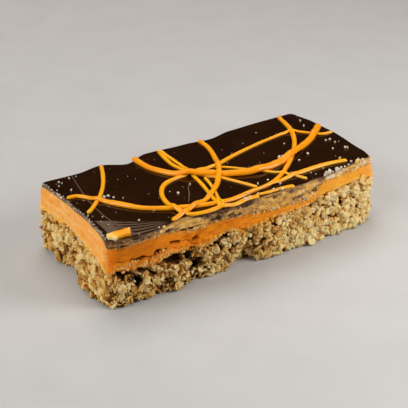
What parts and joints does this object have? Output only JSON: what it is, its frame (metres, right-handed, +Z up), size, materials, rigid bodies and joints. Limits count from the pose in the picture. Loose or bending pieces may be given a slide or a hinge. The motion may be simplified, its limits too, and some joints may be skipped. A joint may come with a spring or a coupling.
{
  "type": "chocolate orange flapjack",
  "caption": "Cut oat bar on its flat underside: craggy pressed oats, a soft orange filling and a thin dark chocolate top with orange drizzle.",
  "frame": {"origin": "middle of the flat underside, where the bar rests", "axes": "+X along the bar, +Y towards the back long side, +Z up"},
  "size_m": [0.1224, 0.0577, 0.0281],
  "materials": {
    "oats": "rough, baked golden oats",
    "orange_filling": "soft, slightly waxy",
    "dark_chocolate": "glossy, tempered",
    "orange_drizzle": "satin icing"
  },
  "bodies": {
    "root": {"oat_base": "oats", "orange_layer": "orange_filling", "chocolate_topping": "dark_chocolate"}
  },
  "joints": []
}
